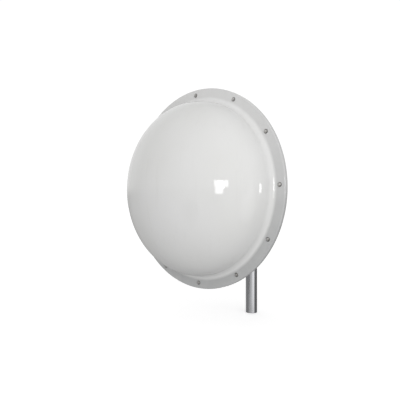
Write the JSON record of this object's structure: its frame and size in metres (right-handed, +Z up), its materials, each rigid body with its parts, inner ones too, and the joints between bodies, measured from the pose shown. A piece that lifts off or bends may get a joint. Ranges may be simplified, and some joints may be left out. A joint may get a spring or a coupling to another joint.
{
  "type": "radar dome antenna",
  "caption": "Mast-mounted parabolic dish antenna under a white bolted radome, with a galvanised clamp bracket that pans and tilts and a feed that turns in its collar.",
  "frame": {"origin": "centre of the mast tube's lower end", "axes": "+Z up the mast, -Y the way the dish looks at rest, +X to the right of someone who stands in front of the dish and looks along +Y"},
  "size_m": [0.9, 0.7186, 1.099],
  "materials": {
    "radome_white": "gloss white moulded shell",
    "spun_aluminium": "spun sheet, satin with fine rings",
    "gasket_rubber": "matt black rubber",
    "galvanised_steel": "hot-dip galvanised, dull with spangle",
    "mast_steel": "drawn galvanised tube, satin",
    "stainless_steel": "satin stainless fasteners",
    "feed_aluminium": "machined, satin",
    "feed_dielectric": "off-white, satin",
    "connector_plating": "plated brass, satin",
    "cap_plastic": "black, satin"
  },
  "bodies": {
    "mast": {"mast_tube": "mast_steel", "mast_cap": "cap_plastic"},
    "clamp": {"mast_channel": "galvanised_steel", "saddle_upper": "galvanised_steel", "saddle_lower": "galvanised_steel", "u_bolt_upper": "stainless_steel", "u_bolt_lower": "stainless_steel", "u_bolt_washer_upper_left": "stainless_steel", "u_bolt_washer_upper_right": "stainless_steel", "u_bolt_washer_lower_left": "stainless_steel", "u_bolt_washer_lower_right": "stainless_steel", "u_bolt_nut_upper_left": "stainless_steel", "u_bolt_nut_upper_right": "stainless_steel", "u_bolt_nut_lower_left": "stainless_steel", "u_bolt_nut_lower_right": "stainless_steel", "pivot_bolt_left": "stainless_steel", "pivot_bolt_right": "stainless_steel", "pivot_nut_left": "stainless_steel", "pivot_nut_right": "stainless_steel", "lock_bolt_left": "stainless_steel", "lock_bolt_right": "stainless_steel", "lock_nut_left": "stainless_steel", "lock_nut_right": "stainless_steel"},
    "dish": {"tilt_bracket": "galvanised_steel", "bracket_bolt_1": "stainless_steel", "bracket_bolt_2": "stainless_steel", "bracket_bolt_3": "stainless_steel", "bracket_bolt_4": "stainless_steel", "back_plate": "galvanised_steel", "back_ring": "galvanised_steel", "ring_rivet_1": "stainless_steel", "ring_rivet_2": "stainless_steel", "ring_rivet_3": "stainless_steel", "ring_rivet_4": "stainless_steel", "ring_rivet_5": "stainless_steel", "ring_rivet_6": "stainless_steel", "reflector": "spun_aluminium", "rim_gasket": "gasket_rubber", "radome_shell": "radome_white", "radome_screw_01": "stainless_steel", "radome_screw_02": "stainless_steel", "radome_screw_03": "stainless_steel", "radome_screw_04": "stainless_steel", "radome_screw_05": "stainless_steel", "radome_screw_06": "stainless_steel", "radome_screw_07": "stainless_steel", "radome_screw_08": "stainless_steel", "radome_screw_09": "stainless_steel", "radome_screw_10": "stainless_steel", "radome_screw_11": "stainless_steel", "radome_screw_12": "stainless_steel", "feed_collar": "feed_aluminium", "collar_screw": "stainless_steel"},
    "feed": {"feed_tube": "feed_aluminium", "feed_adapter": "feed_aluminium", "feed_connector": "connector_plating", "feed_cone": "feed_dielectric", "splash_plate": "feed_aluminium"}
  },
  "joints": [
    {"name": "azimuth_turn", "type": "hinge", "parent": "mast", "child": "clamp", "pos_m": [0, 0, 0.649], "axis": [0, 0, 1], "continuous": true},
    {"name": "elevation_tilt", "type": "hinge", "parent": "clamp", "child": "dish", "pos_m": [0, -0.125, 0.594], "axis": [-1, 0, 0], "range_deg": [-20, 20]},
    {"name": "polarisation_turn", "type": "hinge", "parent": "dish", "child": "feed", "pos_m": [0, -0.433, 0.649], "axis": [0, -1, 0], "range_deg": [0, 90]}
  ]
}
